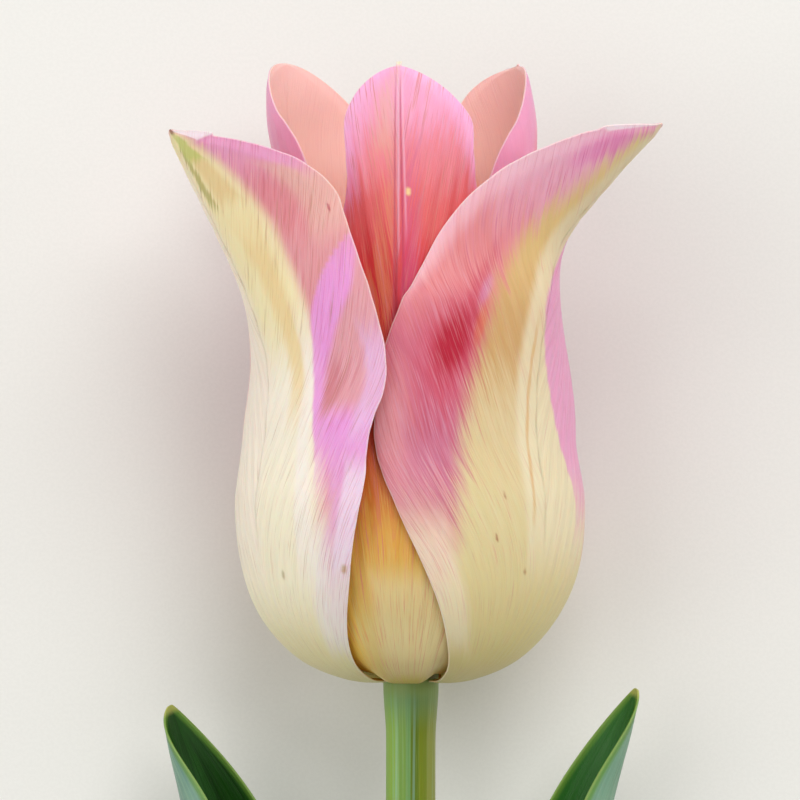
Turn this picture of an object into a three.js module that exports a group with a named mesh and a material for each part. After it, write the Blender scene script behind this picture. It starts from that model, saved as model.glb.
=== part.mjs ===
// A cut lily-flowered tulip that lies on its back: one bloom of six tepals on a leafy stem.
// Millimetres, +Z up, +Y towards the tips of the bloom, +X to the right as seen from above.
// The bloom is built in its own frame, X right, Y along its axis and Z towards the viewer,
// and then tilted, because the belly and the tip of the back tepal both lie on the surface.
import * as THREE from 'three';

// Pose of the whole flower.
const BLOOM_BASE_Y = 84.2; // ahead of the middle of the whole length
const BLOOM_BASE_HEIGHT = 19.6; // above the surface
const BLOOM_TILT = THREE.MathUtils.degToRad(8.8);

// Blades.
const TEPAL_THICKNESS = 0.64;
const LEAF_THICKNESS = 0.7;
const TEPAL_ROWS = 22;
const TEPAL_COLUMNS = 12;
const LEAF_ROWS = 28;
const LEAF_COLUMNS = 8;
const NARROWEST_HALF_WIDTH = 0.3;
const TIP_FROM = 0.8; // share of a blade's length where its rows start to close up
const TIP_ROWS_FROM = 0.7; // share of its rows before that

// Midribs of the tepals up to the belly, as [distance from the bloom's axis, height above its base].
const OUTER_BOWL = [[4.2, 0.5], [9.4, 1.1], [15.3, 3.8], [20.2, 9.2], [22.8, 16.0]];
const INNER_BOWL = [[4.2, 1.6], [9.3, 2.25], [14.8, 4.9], [19.1, 10.2], [21.3, 16.5]];

// Each tepal: the azimuth of its midrib from the viewer, turned by swing above the waist, the rest of its
// midrib, its half widths at even steps along it, the fold at its midrib, the bend of each half above the
// waist as a multiple of the bend that follows the belly, how far each margin stands off outward, how deep
// its foot bulges out between its neighbours, and how its tip closes, as [start, fullness, roundness].
const TEPALS = {
  outer_tepal_left: {
    azimuth: -60, swing: 0, fold: [38, 34], bend: [0.3, 0.5], standOff: [0, 2.8], bulge: 0,
    midrib: [...OUTER_BOWL, [23.7, 25], [22.3, 34.5], [22.0, 43.5], [24.9, 52.5], [29.0, 60.5], [33.0, 67.6],
      [36.8, 74.6]],
    left: [1.2, 6.2, 13.0, 18.0, 20.0, 20.8, 20.6, 20.0, 19.4, 18.5, 16.0],
    right: [0.7, 6.0, 11.2, 16.6, 20.1, 20.2, 21.7, 20.5, 18.8, 19.0, 23.0],
    tip: [[0.8, 1.9, 1], [0.8, 1.9, 1]],
  },
  outer_tepal_right: {
    azimuth: 49, swing: 8, fold: [38, 44], bend: [0.5, 0.5], standOff: [-0.6, 0.3], bulge: 0,
    midrib: [[4.2, 0.5], [9.4, 1.1], [15.1, 3.8], [19.8, 9.2], [22.6, 16.0], [23.3, 25], [21.8, 34], [21.6, 43],
      [22.5, 51.5], [24.0, 60], [31.2, 68.0], [39.2, 75.2]],
    left: [0.7, 6.0, 12.0, 17.6, 21.8, 23.0, 22.2, 18.8, 13.1, 11.5, 14.0],
    right: [1.2, 6.2, 13.0, 18.0, 20.4, 20.8, 19.0, 16.6, 14.4, 12.8, 12.0],
    tip: [[0.82, 1.9, 1], [0.82, 1.9, 1]],
  },
  outer_tepal_back: {
    azimuth: 176, swing: 0, fold: [22, 22], bend: [0.5, 0.5], standOff: [0, 0], bulge: 0,
    midrib: [...OUTER_BOWL, [23.8, 25], [22.8, 34.5], [21.9, 43.5], [22.8, 52], [25.0, 60], [27.8, 66.5],
      [31.0, 72]],
    left: [1.2, 6.2, 13.0, 18.0, 20.4, 20.8, 20.0, 18.6, 17.0, 15.0, 12.0],
    right: [1.2, 6.2, 13.0, 18.0, 20.4, 20.8, 20.0, 18.6, 17.0, 15.0, 12.0],
    tip: [[0.8, 1.8, 1], [0.8, 1.8, 1]],
  },
  inner_tepal_front: {
    azimuth: -6, swing: 0, fold: [0, 0], bend: [1.2, 1.2], standOff: [0, 0], bulge: 1.05,
    midrib: [...INNER_BOWL, [21.6, 25], [20.3, 34.5], [19.0, 43.5], [17.8, 52.5], [17.1, 61], [16.8, 69],
      [16.6, 77], [15.6, 83.8]],
    left: [3.2, 7.8, 13.2, 16.4, 18.2, 18.0, 15.8, 10.8, 7.3, 7.5, 7.9],
    right: [3.2, 7.8, 13.2, 16.4, 18.2, 18.0, 16.6, 13.6, 11.2, 10.4, 10.6],
    tip: [[0.91, 2, 0.68], [0.91, 1.7, 0.8]],
  },
  inner_tepal_left: {
    azimuth: -123, swing: 0, fold: [0, 0], bend: [1.6, 1.6], standOff: [0, 0], bulge: 1.05,
    midrib: [...INNER_BOWL, [22.2, 25], [21.0, 34.5], [19.6, 43.5], [18.6, 52.5], [18.3, 61], [19.2, 69],
      [20.8, 77], [20.8, 85.8]],
    left: [3.2, 7.8, 13.2, 16.4, 18.4, 18.6, 17.8, 17.0, 16.4, 14.9, 12.4],
    right: [3.2, 7.8, 13.2, 16.4, 18.4, 18.6, 17.8, 17.0, 16.8, 16.1, 14.0],
    tip: [[0.82, 2.4, 0.5], [0.8, 2.2, 0.5]],
  },
  inner_tepal_right: {
    azimuth: 111, swing: 0, fold: [0, 0], bend: [1.6, 1.6], standOff: [0, 0], bulge: 1.05,
    midrib: [...INNER_BOWL, [21.8, 25], [20.4, 34.5], [19.0, 43.5], [18.0, 52.5], [17.3, 61], [17.3, 69],
      [17.4, 77], [15.9, 85.2]],
    left: [3.2, 7.8, 13.2, 16.4, 18.4, 18.6, 17.8, 17.0, 16.4, 14.4, 12.0],
    right: [3.2, 7.8, 13.2, 16.4, 18.4, 18.6, 17.8, 16.6, 15.0, 13.8, 14.2],
    tip: [[0.8, 2, 0.5], [0.8, 4, 0.4]],
  },
};
const FOLD_SOFTNESS = 2.5; // width over which a tepal's fold turns
const LARGEST_BEND_RADIUS = 24;
const SECTION_STEPS = 32; // parts in which a section is added up
const LINE_DIVISIONS = 400; // parts in which a midrib's length is added up
const SLOPE_STEP = 1e-3; // share of a blade over which its slope is taken

// Shares of a tepal's length between which it changes.
const LEANING = [0.5, 0.78]; // its section turns square to the midrib
const SWINGING = [0.45, 0.85];
const FOLDING = [0.48, 0.85];
const UNBENDING = [0.42, 0.72];
const STANDING_OFF = [0.2, 0.4];
const CLOSING_IN = [0.7, 0.9];
const BULGE_ENDING = [0.06, 0.2];
const BULGE_MARGIN = [0.35, 0.75]; // share of the half width over which the bulge runs out

// Stem: its centre line as [x, y, z], y from the bloom's base and z from the surface.
const STEM_LINE = [[0, 0, 19.6], [0, -30, 15.2], [0.2, -60, 11.7], [0.2, -90, 9.1], [0, -120, 7.2],
  [0, -150, 5.9], [0, -180, 5.0], [0, -210, 4.4], [0.8, -255, 3.9]];
const STEM_RADIUS = 3.4;
const STEM_END_RADIUS = 3.6;
const STEM_SIDES = 14;
const STEM_STEPS = 34;
const NECK_RADIUS = 3.8; // where the stem flares under the bloom
const NECK_LENGTH = 0.03; // as a share of the centre line
const RECEPTACLE = [[3.8, 1.5], [3.8, 2.7], [3.3, 3.3], [1.6, 3.6]]; // [radius, height]

// Leaves: how much tighter the far half curls towards the tip, the midrib in the stem's frame, and at even
// steps along it the turn of the inner face from straight up towards the stem, the radius of the channel, and
// the half widths near and far from the stem.
const LEAVES = {
  leaf_left: {
    towardStem: 1, curl: 1.85,
    midrib: [[-4.35, -165, 5.3], [-5.6, -149, 4.0], [-8.0, -133, 2.6], [-12.1, -116, 1.5], [-16.2, -99, 0.4],
      [-19, -82, 0.1], [-20.5, -65, 0.9], [-22.2, -48, 3.2], [-25.0, -32, 6.8], [-28.7, -17, 11.2],
      [-33.2, -2.8, 16.0]],
    turn: [90, 65, 42, 25, 12, 5, 5, 9, 14, 18, 22],
    channel: [4.35, 5.6, 8, 12, 16, 19, 18, 15, 11.5, 8.4, 4.6],
    near: [6.4, 8.2, 10, 11, 12, 13, 13.4, 13.6, 12.6, 9.4, 5.8],
    far: [6.4, 8.8, 12.5, 16.5, 19.0, 20.0, 19.5, 17.5, 15.4, 13.0, 12],
  },
  leaf_right: {
    towardStem: -1, curl: 1.75,
    midrib: [[4.3, -195, 4.7], [5.8, -176, 3.7], [8.9, -157, 2.6], [13, -137, 1.4], [16, -118, 0.5],
      [18.5, -98, 0.1], [19.5, -78, 0.7], [20.5, -58, 3.0], [22.3, -38, 7.0], [25.7, -19, 12.2],
      [31.0, -0.6, 17.2]],
    turn: [90, 62, 40, 24, 12, 5, 5, 14, 28, 40, 44],
    channel: [4.3, 5.9, 9.5, 13, 17, 20, 19, 15, 11, 7.5, 4.2],
    near: [6.4, 7.2, 7.2, 8.4, 11, 12.5, 13, 12.5, 11, 8.6, 6.6],
    far: [6.4, 8.8, 12.5, 16.5, 19.0, 20.0, 18.6, 14.8, 11.8, 10.6, 9.6],
  },
};
const LEAF_FOLD = THREE.MathUtils.degToRad(10);
const LEAF_FOLDING = [0.15, 0.4];
const CURLING = [0.6, 0.9];
const LEAF_FOLD_SOFTNESS = 1.5;
const LEAF_TIP = [0.86, 1.7, 0.85];
const LEAF_WAVE = 1.3; // height of the waves in a leaf's margins
const LEAF_WAVES = 3.5;
const WAVE_SLANT = 2; // angle by which the waves at the two margins stand apart from the midrib
const WAVES_RISING = [0.25, 0.4];
const WAVES_DYING = [0.7, 0.85];

// Stamens and pistil, in the bloom's frame; foot and tip are [distance from the axis, height].
const STAMEN_COUNT = 6;
const FIRST_STAMEN_AZIMUTH = THREE.MathUtils.degToRad(24);
const FILAMENT = { foot: [3.0, 3.9], tip: [5.9, 14.0], radii: [0.75, 0.7, 0.55, 0.35] };
const FILAMENT_SIDES = 6;
const ANTHER = { foot: [5.98, 14.3], tip: [8.2, 28.5], radii: [0.7, 1.5, 1.6, 1.4, 0.6] };
const ANTHER_SIDES = 8;
const ANTHER_LOBES = 4;
const ANTHER_GROOVE = 0.22; // depth, as a share of the radius
const PISTIL = [[1.9, 3.9], [2.1, 5.0], [2.9, 10], [3.1, 17], [2.7, 23], [2.3, 26], [3.4, 28], [4.0, 29.5],
  [3.0, 30.6]]; // [radius, height]
const PISTIL_SIDES = 18;
const PISTIL_LOBES = 3;
const OVARY_LOBE = 0.12; // depth of the grooves, as a share of the radius
const STIGMA_LOBE = 0.34;
const STIGMA_START = 26;

// Materials.
const material = (name, color, roughness) => Object.assign(
  new THREE.MeshStandardMaterial({ color, roughness, metalness: 0, side: THREE.FrontSide }), { name });
const OUTER_PETAL = material('outer_petal', 0xe9cdb2, 0.5);
const INNER_PETAL = material('inner_petal', 0xe58a92, 0.5);
const GREEN_STEM = material('green_stem', 0x84a650, 0.5);
const GREEN_LEAF = material('green_leaf', 0x3f7a48, 0.55);
const PALE_FILAMENT = material('pale_filament', 0xe6dcae, 0.6);
const DARK_ANTHER = material('dark_anther', 0x4a3a2c, 0.85);
const GREEN_PISTIL = material('green_pistil', 0xb9c272, 0.5);

// Smooth step from 0 at the start of a range to 1 at its end.
const ease = ([start, end], x) => THREE.MathUtils.smoothstep(x, start, end);

// Value at share t of a smooth curve through even-spaced values.
function along(values, t) {
  const spans = values.length - 1;
  const i = Math.min(Math.floor(t * spans), spans - 1);
  const w = t * spans - i;
  const p1 = values[i];
  const p2 = values[i + 1];
  const p0 = i > 0 ? values[i - 1] : 2 * p1 - p2;
  const p3 = i < spans - 1 ? values[i + 2] : 2 * p2 - p1;
  const v1 = (p2 - p0) / 2;
  const v2 = (p3 - p1) / 2;
  return (2 * p1 - 2 * p2 + v1 + v2) * w ** 3 + (3 * p2 - 3 * p1 - 2 * v1 - v2) * w ** 2 + v1 * w + p1;
}

// Smooth line through points, read by its length.
function smoothLine(points) {
  const vectors = points.map(([x, y, z = 0]) => new THREE.Vector3(x, y, z));
  const line = new THREE.CatmullRomCurve3(vectors, false, 'catmullrom', 0.5);
  line.arcLengthDivisions = LINE_DIVISIONS;
  return line;
}

// How much of a blade's width is left at share s, where its tip closes.
function closing([start, fullness, roundness], s) {
  const t = THREE.MathUtils.clamp((s - start) / (1 - start), 0, 1);
  return Math.max(1 - t ** fullness, 0) ** roundness;
}

// Cross-section of a blade: where the point at a given width lies, as [sideways, inward],
// when the blade folds at its midrib and then bends on round a channel.
function section(width, fold, softness, bend) {
  let sideways = 0;
  let inward = 0;
  for (let k = 0; k < SECTION_STEPS; k += 1) {
    const q = width * (k + 0.5) / SECTION_STEPS;
    const angle = fold * Math.tanh(q / softness) + q * bend;
    sideways += Math.cos(angle) * width / SECTION_STEPS;
    inward += Math.sin(angle) * width / SECTION_STEPS;
  }
  return [sideways, inward];
}

// Point on the middle surface of a tepal, s from 0 at its foot to 1 at its tip, c from -1 to 1 across.
// The section stands square to the bloom's axis in the belly and square to the midrib towards the tip.
function tepalSurface(tepal) {
  const line = smoothLine(tepal.midrib);
  return (s, c) => {
    const half = c < 0 ? 0 : 1;
    const widths = c < 0 ? tepal.left : tepal.right;
    const [radius, height] = line.getPointAt(s).toArray();
    const tangent = line.getTangentAt(s);
    const lean = Math.atan2(tangent.x, tangent.y) * ease(LEANING, s);
    const azimuth = THREE.MathUtils.degToRad(tepal.azimuth + tepal.swing * ease(SWINGING, s));
    const full = along(widths, s) * closing(tepal.tip[half], s) + NARROWEST_HALF_WIDTH;
    const fold = THREE.MathUtils.degToRad(tepal.fold[half]) * ease(FOLDING, s);
    const bend = (1 + (tepal.bend[half] - 1) * ease(UNBENDING, s)) / Math.min(radius, LARGEST_BEND_RADIUS);
    const [sideways, inward] = section(Math.abs(c) * full, fold, FOLD_SOFTNESS, bend);
    const standOff = tepal.standOff[half] * c * c * ease(STANDING_OFF, s) * (1 - ease(CLOSING_IN, s));
    const bulge = tepal.bulge * (1 - ease(BULGE_ENDING, s)) * (1 - ease(BULGE_MARGIN, Math.abs(c)));
    const outwardDirection = new THREE.Vector3(Math.sin(azimuth), 0, Math.cos(azimuth));
    const sideDirection = new THREE.Vector3(Math.cos(azimuth), 0, -Math.sin(azimuth));
    const inwardDirection = outwardDirection.clone().multiplyScalar(-Math.cos(lean));
    inwardDirection.y = Math.sin(lean);
    return outwardDirection.multiplyScalar(radius + bulge * tangent.y).setY(height - bulge * tangent.x)
      .addScaledVector(sideDirection, Math.sign(c) * sideways)
      .addScaledVector(inwardDirection, inward - standOff);
  };
}

// Point on the middle surface of a leaf, s from 0 at its foot to 1 at its tip, c from -1 to 1 across.
function leafSurface(leaf) {
  const line = smoothLine(leaf.midrib);
  const up = new THREE.Vector3(0, 0, 1);
  return (s, c) => {
    const tangent = line.getTangentAt(s);
    const upright = up.clone().addScaledVector(tangent, -tangent.z).normalize();
    const right = tangent.clone().cross(upright);
    const turn = THREE.MathUtils.degToRad(along(leaf.turn, s));
    const inwardDirection = upright.multiplyScalar(Math.cos(turn))
      .addScaledVector(right, leaf.towardStem * Math.sin(turn));
    const sideDirection = tangent.clone().cross(inwardDirection);
    const far = c * leaf.towardStem < 0;
    const widths = far ? leaf.far : leaf.near;
    const curl = far ? THREE.MathUtils.lerp(1, leaf.curl, ease(CURLING, s)) : 1;
    const full = along(widths, s) * closing(LEAF_TIP, s) + NARROWEST_HALF_WIDTH;
    const [sideways, inward] = section(Math.abs(c) * full, LEAF_FOLD * ease(LEAF_FOLDING, s),
      LEAF_FOLD_SOFTNESS, curl / along(leaf.channel, s));
    const wave = LEAF_WAVE * Math.sin(2 * Math.PI * LEAF_WAVES * s + WAVE_SLANT * c) * c ** 4
      * ease(WAVES_RISING, s) * (1 - ease(WAVES_DYING, s));
    return line.getPointAt(s)
      .addScaledVector(sideDirection, Math.sign(c) * sideways)
      .addScaledVector(inwardDirection, inward + wave);
  };
}

// Closed solid from rows of points that run round it: row 0 and the last row are closed by flat fans.
function loft(rings) {
  const sides = rings[0].length;
  const vertices = rings.flat();
  const triangles = [];
  const at = (row, k) => row * sides + (k % sides);
  for (let row = 0; row < rings.length - 1; row += 1) {
    for (let k = 0; k < sides; k += 1) {
      triangles.push(at(row, k), at(row, k + 1), at(row + 1, k + 1));
      triangles.push(at(row, k), at(row + 1, k + 1), at(row + 1, k));
    }
  }
  for (const [row, flip] of [[0, true], [rings.length - 1, false]]) {
    const centre = new THREE.Vector3();
    rings[row].forEach((point) => centre.addScaledVector(point, 1 / sides));
    vertices.push(centre);
    for (let k = 0; k < sides; k += 1) {
      const edge = [at(row, k), at(row, k + 1)];
      triangles.push(...(flip ? edge.reverse() : edge), vertices.length - 1);
    }
  }
  return solid(vertices, triangles);
}

function solid(vertices, triangles) {
  const geometry = new THREE.BufferGeometry().setFromPoints(vertices);
  geometry.setIndex(triangles);
  geometry.computeVertexNormals();
  return geometry;
}

// Share of a blade's length at a share of its rows: even along the blade, and closer towards its tip.
function rowShare(u) {
  if (u < TIP_ROWS_FROM) return (u * TIP_FROM) / TIP_ROWS_FROM;
  return TIP_FROM + (1 - TIP_FROM) * Math.sin((Math.PI / 2) * (u - TIP_ROWS_FROM) / (1 - TIP_ROWS_FROM));
}

// Closed blade of even thickness round a middle surface. Both faces share one pattern of triangles.
// Where the blade would reach below the resting plane, it lies flat on it.
function blade(surface, rows, columns, thickness, resting) {
  const faces = [[], []];
  for (let i = 0; i <= rows; i += 1) {
    for (let j = 0; j <= columns; j += 1) {
      const s = rowShare(i / rows);
      const c = (2 * j) / columns - 1;
      const middle = surface(s, c);
      const lengthwise = surface(Math.min(s + SLOPE_STEP, 1), c)
        .sub(surface(Math.max(s - SLOPE_STEP, 0), c));
      const crosswise = surface(s, Math.min(c + SLOPE_STEP, 1))
        .sub(surface(s, Math.max(c - SLOPE_STEP, -1)));
      const square = lengthwise.cross(crosswise).normalize();
      const lower = square.dot(resting.normal) < 0 ? 0 : 1;
      for (const side of [0, 1]) {
        const point = middle.clone().addScaledVector(square, (0.5 - side) * thickness);
        const lack = (side === lower ? 0 : thickness) - resting.distanceToPoint(point);
        faces[side].push(lack > 0 ? point.addScaledVector(resting.normal, lack) : point);
      }
    }
  }
  const count = faces[0].length;
  const at = (side, i, j) => side * count + i * (columns + 1) + j;
  const triangles = [];
  const quad = (a, b, c, d) => triangles.push(a, b, c, a, c, d);
  for (let i = 0; i < rows; i += 1) {
    for (let j = 0; j < columns; j += 1) {
      const corners = [[i, j], [i + 1, j], [i + 1, j + 1], [i, j + 1]];
      const leftOfMidrib = j < columns / 2;
      if (leftOfMidrib) corners.push(corners.shift());
      const [a, b, c, d] = corners.map(([row, column]) => [at(0, row, column), at(1, row, column)]);
      quad(a[0], b[0], c[0], d[0]);
      triangles.push(a[1], c[1], b[1], a[1], d[1], c[1]);
    }
  }
  const rim = [];
  for (let j = 0; j < columns; j += 1) rim.push([0, j]);
  for (let i = 0; i < rows; i += 1) rim.push([i, columns]);
  for (let j = columns; j > 0; j -= 1) rim.push([rows, j]);
  for (let i = rows; i > 0; i -= 1) rim.push([i, 0]);
  rim.forEach(([i, j], k) => {
    const [m, n] = rim[(k + 1) % rim.length];
    quad(at(0, i, j), at(0, m, n), at(1, m, n), at(1, i, j));
  });
  return solid([...faces[0], ...faces[1]], triangles);
}

// Rings of a round rod between two points, one for each radius, with flutes in its side.
function rod(foot, tip, radii, sides, flutes = 0, depth = 0) {
  const line = new THREE.LineCurve3(foot, tip);
  const { normals, binormals } = line.computeFrenetFrames(1, false);
  return radii.map((radius, i) => ring(line.getPoint(i / (radii.length - 1)), normals[0], binormals[0],
    radius, sides, flutes, depth));
}

function ring(centre, normal, binormal, radius, sides, flutes = 0, depth = 0) {
  return Array.from({ length: sides }, (_, k) => {
    const angle = (2 * Math.PI * k) / sides;
    const reach = radius * (1 - depth * (0.5 - 0.5 * Math.cos(flutes * angle)));
    return centre.clone()
      .addScaledVector(normal, reach * Math.cos(angle))
      .addScaledVector(binormal, reach * Math.sin(angle));
  });
}

// Stem with its cut lower end, the flare under the bloom and the receptacle above it, as one body.
function stem() {
  const line = smoothLine(STEM_LINE);
  const across = new THREE.Vector3(1, 0, 0);
  const rings = [];
  for (let i = STEM_STEPS; i >= 0; i -= 1) {
    const s = i / STEM_STEPS;
    const tangent = line.getTangentAt(s).negate();
    const side = across.clone().addScaledVector(tangent, -tangent.x).normalize();
    const flare = (NECK_RADIUS - STEM_RADIUS) * (1 - ease([0, NECK_LENGTH], s));
    const radius = THREE.MathUtils.lerp(STEM_RADIUS, STEM_END_RADIUS, s) + flare;
    rings.push(ring(line.getPointAt(s), side, tangent.clone().cross(side), radius, STEM_SIDES));
  }
  const axis = new THREE.Vector3(0, Math.cos(BLOOM_TILT), Math.sin(BLOOM_TILT));
  const side = across.clone();
  const top = line.getPointAt(0);
  for (const [radius, height] of RECEPTACLE) {
    const centre = top.clone().addScaledVector(axis, height);
    rings.push(ring(centre, side, axis.clone().cross(side), radius, STEM_SIDES));
  }
  return loft(rings);
}

// Point in the bloom's frame at a distance from its axis, a height and an azimuth from the viewer.
function bloomPoint(radius, height, azimuth) {
  return new THREE.Vector3(radius * Math.sin(azimuth), height, radius * Math.cos(azimuth));
}

function pistil() {
  return loft(PISTIL.map(([radius, height]) => {
    const depth = height > STIGMA_START ? STIGMA_LOBE : OVARY_LOBE;
    return ring(new THREE.Vector3(0, height, 0), new THREE.Vector3(0, 0, 1), new THREE.Vector3(1, 0, 0),
      radius, PISTIL_SIDES, PISTIL_LOBES, depth);
  }));
}

function filament(azimuth) {
  return loft(rod(bloomPoint(...FILAMENT.foot, azimuth), bloomPoint(...FILAMENT.tip, azimuth),
    FILAMENT.radii, FILAMENT_SIDES));
}

function anther(azimuth) {
  return loft(rod(bloomPoint(...ANTHER.foot, azimuth), bloomPoint(...ANTHER.tip, azimuth),
    ANTHER.radii, ANTHER_SIDES, ANTHER_LOBES, ANTHER_GROOVE));
}

function part(name, geometry, surface) {
  const mesh = new THREE.Mesh(geometry, surface);
  mesh.name = name;
  return mesh;
}

const bloom = new THREE.Group();
bloom.position.set(0, 0, BLOOM_BASE_HEIGHT);
bloom.rotation.x = BLOOM_TILT;
bloom.updateMatrix();
const ground = new THREE.Plane(new THREE.Vector3(0, 0, 1), 0);
const groundInBloom = ground.clone().applyMatrix4(bloom.matrix.clone().invert());
for (const [name, tepal] of Object.entries(TEPALS)) {
  const surface = name.startsWith('outer') ? OUTER_PETAL : INNER_PETAL;
  bloom.add(part(name, blade(tepalSurface(tepal), TEPAL_ROWS, TEPAL_COLUMNS, TEPAL_THICKNESS,
    groundInBloom), surface));
}
bloom.add(part('pistil', pistil(), GREEN_PISTIL));
for (let i = 0; i < STAMEN_COUNT; i += 1) {
  const azimuth = FIRST_STAMEN_AZIMUTH + (2 * Math.PI * i) / STAMEN_COUNT;
  bloom.add(part(`filament_${i + 1}`, filament(azimuth), PALE_FILAMENT));
  bloom.add(part(`anther_${i + 1}`, anther(azimuth), DARK_ANTHER));
}

const flower = new THREE.Group();
flower.position.set(0, BLOOM_BASE_Y, 0);
flower.add(bloom);
flower.add(part('stem', stem(), GREEN_STEM));
for (const [name, leaf] of Object.entries(LEAVES)) {
  flower.add(part(name, blade(leafSurface(leaf), LEAF_ROWS, LEAF_COLUMNS, LEAF_THICKNESS, ground),
    GREEN_LEAF));
}

export default flower;
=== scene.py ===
import bpy
import numpy as np
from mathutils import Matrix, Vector


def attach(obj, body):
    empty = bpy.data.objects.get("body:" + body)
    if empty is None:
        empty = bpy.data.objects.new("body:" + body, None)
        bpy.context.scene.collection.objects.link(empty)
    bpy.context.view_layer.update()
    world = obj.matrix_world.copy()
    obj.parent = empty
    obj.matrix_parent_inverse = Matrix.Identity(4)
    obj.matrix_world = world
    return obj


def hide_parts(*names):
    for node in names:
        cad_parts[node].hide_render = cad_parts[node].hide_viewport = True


# A cut lily-flowered tulip that lies on its back, in the frame of its solids: the pieces keep the solids'
# midribs, widths and folds, worked out on fine grids in millimetres, and add veins, rims, wax and colour.
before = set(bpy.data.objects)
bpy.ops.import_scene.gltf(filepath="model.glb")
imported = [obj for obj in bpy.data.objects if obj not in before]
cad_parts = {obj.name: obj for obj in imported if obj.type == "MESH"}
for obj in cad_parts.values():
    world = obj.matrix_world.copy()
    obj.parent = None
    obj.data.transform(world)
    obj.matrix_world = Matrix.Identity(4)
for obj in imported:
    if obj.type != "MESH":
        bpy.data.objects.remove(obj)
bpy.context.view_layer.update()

# Stem
# The cut stem is a fleshy rod that widens a little into the receptacle that carries the tepals. It is green
# under a bluish wax that lies in long streaks, with the wet, paler disc of the cut at its lower end.
MM = 0.001
BLOOM_BASE = np.array([0, 84.2, 19.6])
BLOOM_TILT = np.radians(8.8)
# x, y from the bloom's base and z from the surface.
STEM_LINE = [(0, 0, 19.6), (0, -30, 15.2), (0.2, -60, 11.7), (0.2, -90, 9.1), (0, -120, 7.2),
             (0, -150, 5.9), (0, -180, 5.0), (0, -210, 4.4), (0.8, -255, 3.9)]
STEM_RADIUS = 3.4
STEM_END_RADIUS = 3.6
NECK_RADIUS = 3.8
NECK_LENGTH = 0.03
# Radius at heights above the bloom's base.
RECEPTACLE = [(3.8, 1.5), (3.8, 2.7), (3.3, 3.3), (1.6, 3.6)]
STEM_RINGS = 420
STEM_SIDES = 96
STEM_RIDGES = 9
RIDGE_DEPTH = 0.05
# Shares of the stem's length between which its ridges rise and end.
RIDGES_RISING = (0.0, 0.05)
RIDGES_ENDING = (1, 0.995)
CURVE_POINTS = 401
TANGENT_STEP = 1e-4
NOISE_ROUGHNESS = 0.6


def linear(colour):
    """An sRGB hex colour as linear red, green, blue and full alpha."""
    parts = [int(colour[i:i + 2], 16) / 255 for i in (1, 3, 5)]
    return [p / 12.92 if p <= 0.04045 else ((p + 0.055) / 1.055) ** 2.4 for p in parts] + [1.0]


def ease(bounds, x):
    """Smooth step from 0 at the start of a range to 1 at its end."""
    t = np.clip((x - bounds[0]) / (bounds[1] - bounds[0]), 0, 1)
    return t * t * (3 - 2 * t)


def through(points, t):
    """Smooth curve through even-spaced points, t from 0 to 1: each span is the cubic whose slope at a point
    is half the step between that point's neighbours, and the end steps go straight on."""
    p = np.asarray(points, float)
    spans = len(p) - 1
    x = np.clip(t, 0, 1) * spans
    i = np.minimum(x.astype(int), spans - 1)
    w = (x - i)[(...,) + (None,) * (p.ndim - 1)]
    p = np.concatenate([[2 * p[0] - p[1]], p, [2 * p[-1] - p[-2]]])
    p0, p1, p2, p3 = (p[i + k] for k in range(4))
    v1, v2 = (p2 - p0) / 2, (p3 - p1) / 2
    return (2 * p1 - 2 * p2 + v1 + v2) * w**3 + (3 * p2 - 3 * p1 - 2 * v1 - v2) * w**2 + v1 * w + p1


def by_length(points, share):
    """Points, unit tangents and the length of the same curve, read at shares of its length."""
    t = np.linspace(0, 1, CURVE_POINTS)
    steps = np.linalg.norm(np.diff(through(points, t), axis=0), axis=1)
    length = np.concatenate([[0], np.cumsum(steps)])
    at = np.interp(share, length / length[-1], t)
    ahead, behind = np.minimum(at + TANGENT_STEP, 1), np.maximum(at - TANGENT_STEP, 0)
    tangent = through(points, ahead) - through(points, behind)
    return through(points, at), tangent / np.linalg.norm(tangent, axis=-1, keepdims=True), length[-1]


def make_piece(name, vertices, faces, nodes, material, marks):
    """A smooth mesh from points in millimetres and faces, its marks as attributes, in place of CAD
    nodes."""
    mesh = bpy.data.meshes.new(name)
    mesh.from_pydata(vertices * MM, [], faces)
    for mark, values in marks.items():
        mesh.attributes.new(mark, "FLOAT", "POINT").data.foreach_set("value", values.astype(np.float32))
    mesh.polygons.foreach_set("use_smooth", np.ones(len(mesh.polygons), bool))
    mesh.materials.append(material)
    piece = bpy.data.objects.new(name, mesh)
    bpy.context.scene.collection.objects.link(piece)
    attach(piece, "root")
    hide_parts(*nodes)


def tube_faces(rings, sides):
    """Quads between rings of points that run round a rod, and a fan to a pole point at each end."""
    ring, k = np.meshgrid(np.arange(rings - 1) * sides, np.arange(sides), indexing="ij")
    after = (k + 1) % sides
    walls = np.stack([ring + k, ring + after, ring + sides + after, ring + sides + k], -1).reshape(-1, 4)
    k, after = np.arange(sides), (np.arange(sides) + 1) % sides
    last = (rings - 1) * sides
    foot = np.stack([after, k, np.full(sides, rings * sides)], -1)
    top = np.stack([last + k, last + after, np.full(sides, rings * sides + 1)], -1)
    return walls.tolist() + foot.tolist() + top.tolist()


def with_poles(rings):
    """Values of the rings one after the other, then the mean of the first and of the last ring."""
    flat = rings.reshape(rings.shape[0] * rings.shape[1], -1)
    both = np.concatenate([flat, [rings[0].mean(0).ravel(), rings[-1].mean(0).ravel()]])
    return both if rings.ndim == 3 else both[:, 0]


def add_node(tree, kind, links=None, output=0, **settings):
    """A node with its settings; links gives an output, a value or an sRGB hex colour for each named or
    numbered input. Gives one of the node's outputs."""
    node = tree.nodes.new("ShaderNode" + kind)
    for name, value in settings.items():
        setattr(node, name, value)
    for key, value in (links or {}).items():
        if isinstance(value, bpy.types.NodeSocket):
            tree.links.new(value, node.inputs[key])
        else:
            node.inputs[key].default_value = linear(value) if isinstance(value, str) else value
    return node.outputs[output] if len(node.outputs) else None


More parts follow.
